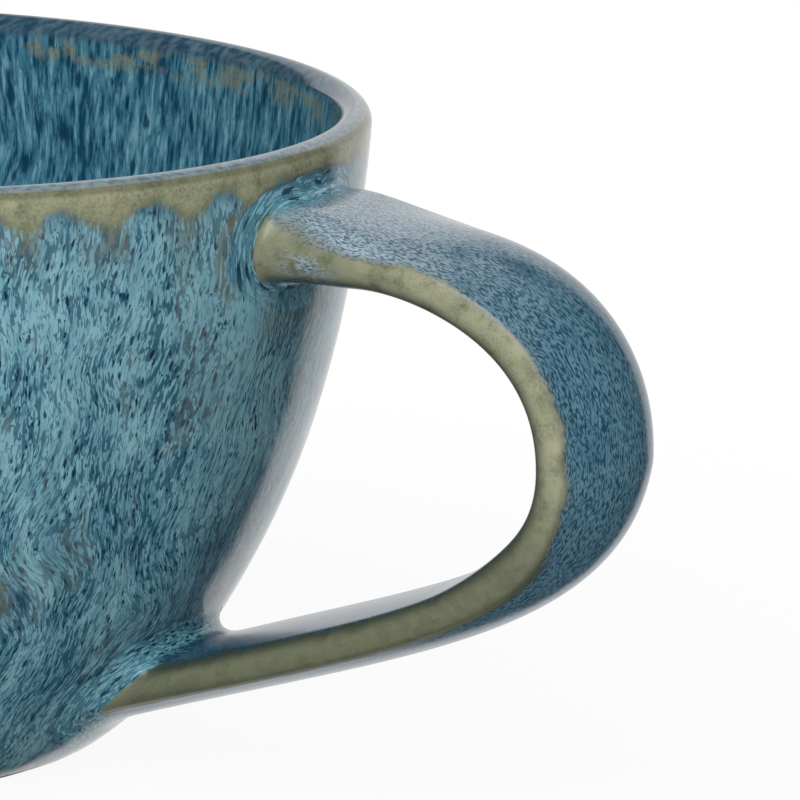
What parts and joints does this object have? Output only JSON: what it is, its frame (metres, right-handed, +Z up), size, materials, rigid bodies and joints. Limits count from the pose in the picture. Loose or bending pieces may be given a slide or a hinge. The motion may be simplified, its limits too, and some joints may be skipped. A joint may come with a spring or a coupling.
{
  "type": "soup mug",
  "caption": "Wide round-bellied stoneware soup mug with a bare foot ring, a crowned strap handle and a mottled blue glaze that breaks to olive on its edges.",
  "frame": {"origin": "centre of the foot ring, on the table", "axes": "+Z up along the cup's axis, +X from the cup's axis towards the handle"},
  "size_m": [0.171, 0.13, 0.075],
  "materials": {
    "stoneware": "bare fired stoneware, matt",
    "slip": "fired luting slip, matt",
    "liner_glaze": "glossy reactive glaze with dark streaks",
    "outer_glaze": "glossy reactive glaze with dark flecks",
    "handle_glaze": "glossy reactive glaze, olive on the edges"
  },
  "bodies": {
    "root": {"cup_body": "stoneware", "handle": "stoneware", "upper_slip_joint": "slip", "lower_slip_joint": "slip", "liner_glaze": "liner_glaze", "outer_glaze": "outer_glaze", "handle_glaze": "handle_glaze", "base_glaze": "outer_glaze"}
  },
  "joints": []
}
